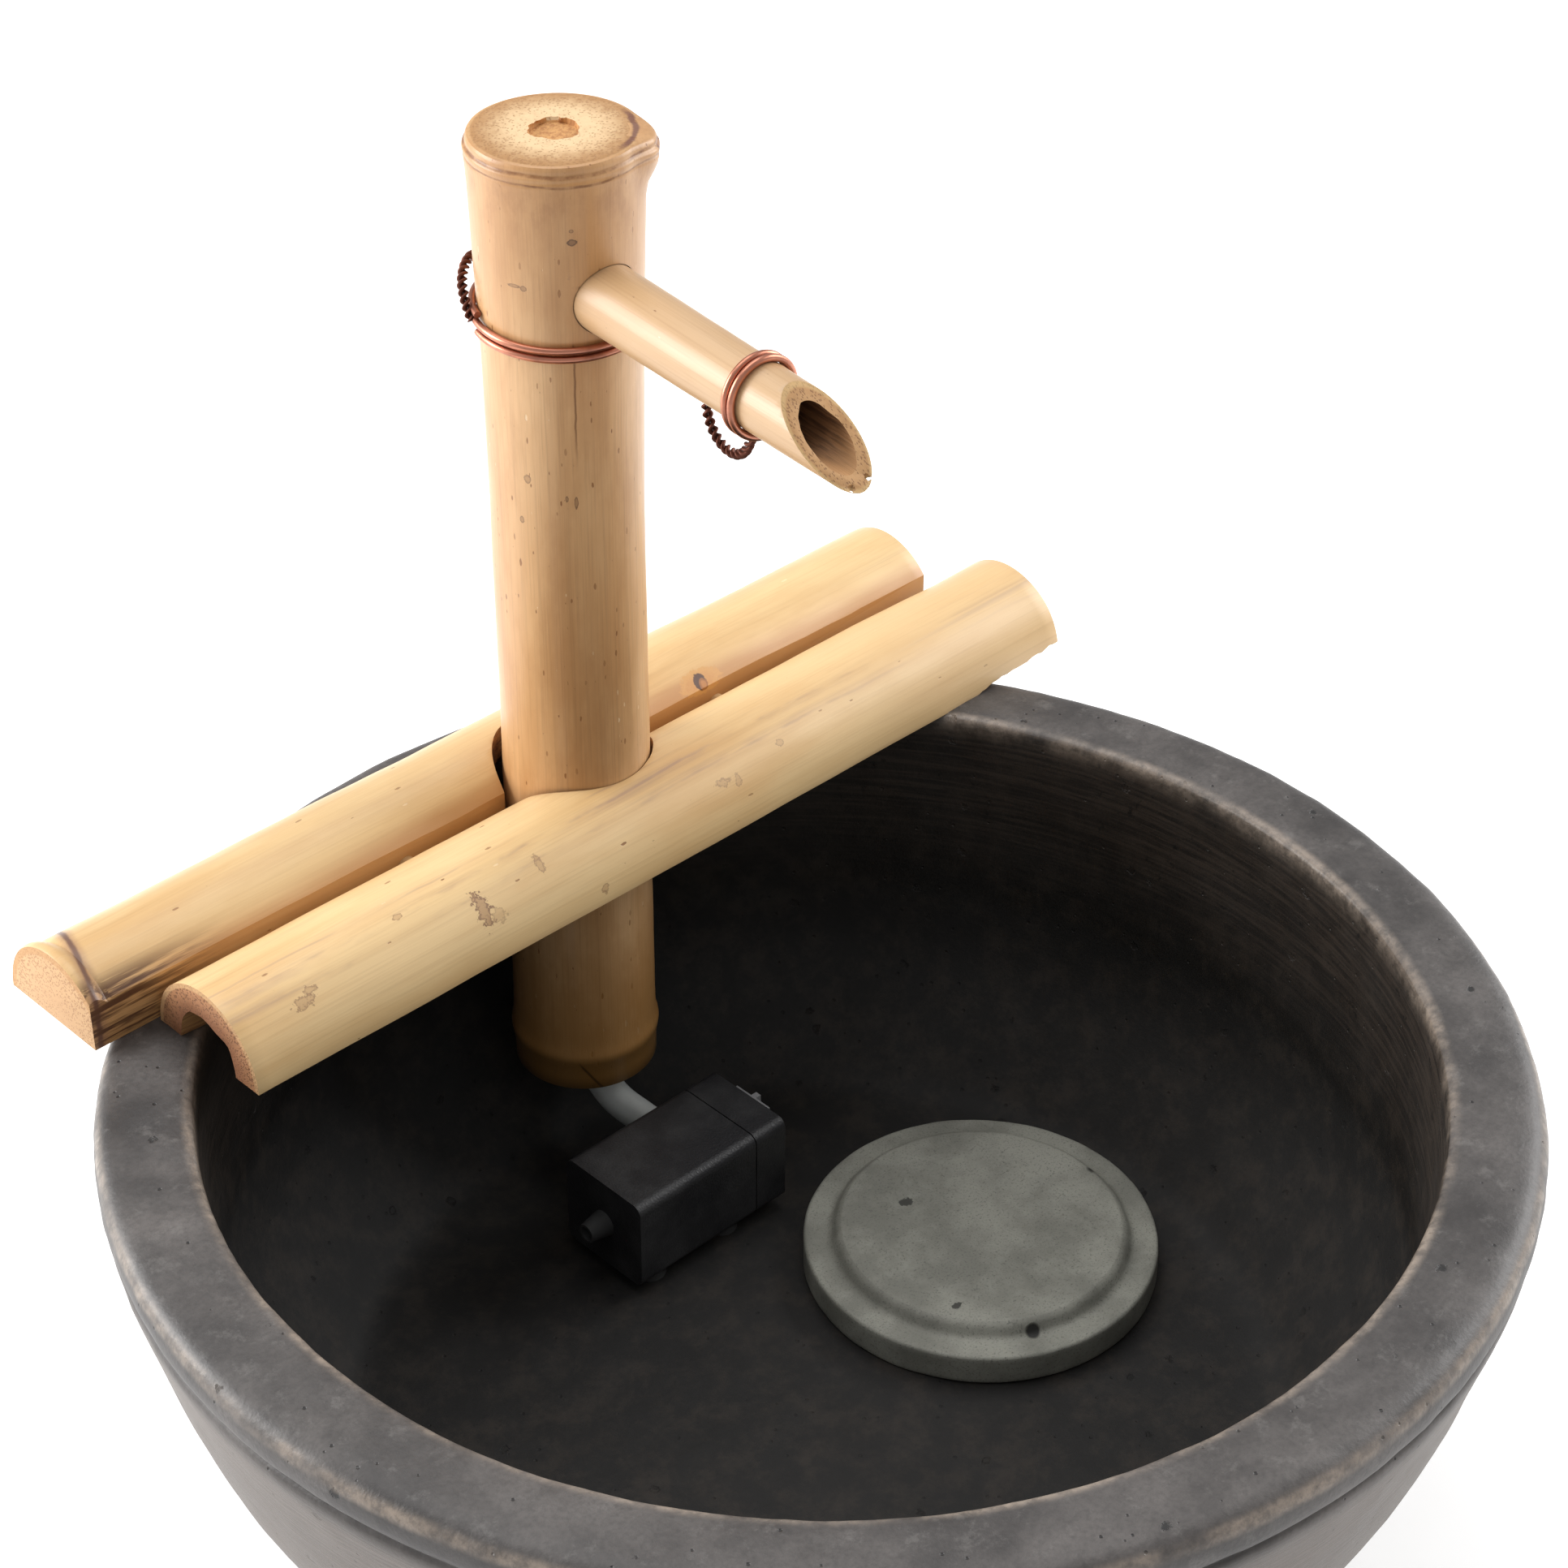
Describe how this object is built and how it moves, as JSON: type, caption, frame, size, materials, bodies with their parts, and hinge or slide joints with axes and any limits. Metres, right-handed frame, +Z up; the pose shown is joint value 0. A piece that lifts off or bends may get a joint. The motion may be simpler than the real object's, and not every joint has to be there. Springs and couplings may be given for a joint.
{
  "type": "bamboo spout fountain with bowl",
  "caption": "Round bowl with a bamboo post and fixed slant-cut spout held in split bamboo rails laid across the rim, fed by a small submersible pump.",
  "frame": {"origin": "centre of the bowl's underside, on the surface that the bowl stands on", "axes": "+Z up along the bowl's axis, X along the bamboo rails, the spout points towards -Y"},
  "size_m": [0.38, 0.3798, 0.353],
  "materials": {
    "bowl_stoneware": "matte, mottled, worn paler along the rim",
    "splash_stone": "honed, speckled",
    "bamboo": "natural skin, satin",
    "copper_wire": "bare copper, darkened",
    "clear_tube": "clear and soft",
    "pump_plastic": "moulded black",
    "rubber": "matte",
    "core_steel": "laminated",
    "ferrite": "sintered",
    "white_ceramic": "polished"
  },
  "bodies": {
    "bowl": {"bowl": "bowl_stoneware"},
    "stone": {"splash_stone": "splash_stone"},
    "base": {"front_rail": "bamboo", "rear_rail": "bamboo", "rail_dowels": "bamboo"},
    "riser": {"riser_tube": "clear_tube", "tube_joiner": "pump_plastic"},
    "post": {"post": "bamboo", "spout": "bamboo", "post_tie": "copper_wire", "post_tie_tail": "copper_wire", "spout_tie": "copper_wire", "spout_tie_tail": "copper_wire", "tube_elbow": "pump_plastic", "spout_sleeve": "clear_tube"},
    "pump": {"pump_housing": "pump_plastic", "pump_rear_cap": "pump_plastic", "cable_gland": "rubber", "stator_core": "core_steel", "stator_coils": "copper_wire", "rotor_shaft": "white_ceramic", "shaft_bushes": "rubber", "pump_volute": "pump_plastic", "outlet_nozzle": "pump_plastic", "suction_cups": "rubber", "supply_tube": "clear_tube"},
    "rotor": {"rotor_magnet": "ferrite", "impeller": "pump_plastic"},
    "strainer": {"strainer": "pump_plastic"},
    "flow_slider": {"flow_slider": "pump_plastic"}
  },
  "joints": [
    {"name": "stone_lift", "type": "slide", "parent": "bowl", "child": "stone", "axis": [0, 0, 1], "range_m": [0, 0.15]},
    {"name": "base_lift", "type": "slide", "parent": "bowl", "child": "base", "axis": [0, 0, 1], "range_m": [0, 0.12]},
    {"name": "post_height", "type": "slide", "parent": "base", "child": "riser", "axis": [0, 0, 1], "range_m": [-0.003, 0.05]},
    {"name": "post_turn", "type": "hinge", "parent": "riser", "child": "post", "pos_m": [0.0275, 0.128, 0.2], "axis": [0, 0, 1], "range_deg": [-90, 90]},
    {"name": "pump_follow", "type": "slide", "parent": "riser", "child": "pump", "axis": [0, 0, 1], "range_m": [-0.05, 0.003], "deforming": ["supply_tube"]},
    {"name": "rotor_spin", "type": "hinge", "parent": "pump", "child": "rotor", "pos_m": [0.0155, 0.076, 0.039], "axis": [1, 0, 0], "continuous": true},
    {"name": "strainer_pull", "type": "slide", "parent": "pump", "child": "strainer", "axis": [1, 0, 0], "range_m": [0, 0.02]},
    {"name": "flow_adjust", "type": "slide", "parent": "strainer", "child": "flow_slider", "axis": [0, 1, 0], "range_m": [0, 0.008]}
  ],
  "couplings": [
    {"joint": "pump_follow", "follows": "post_height", "ratio": -1}
  ]
}
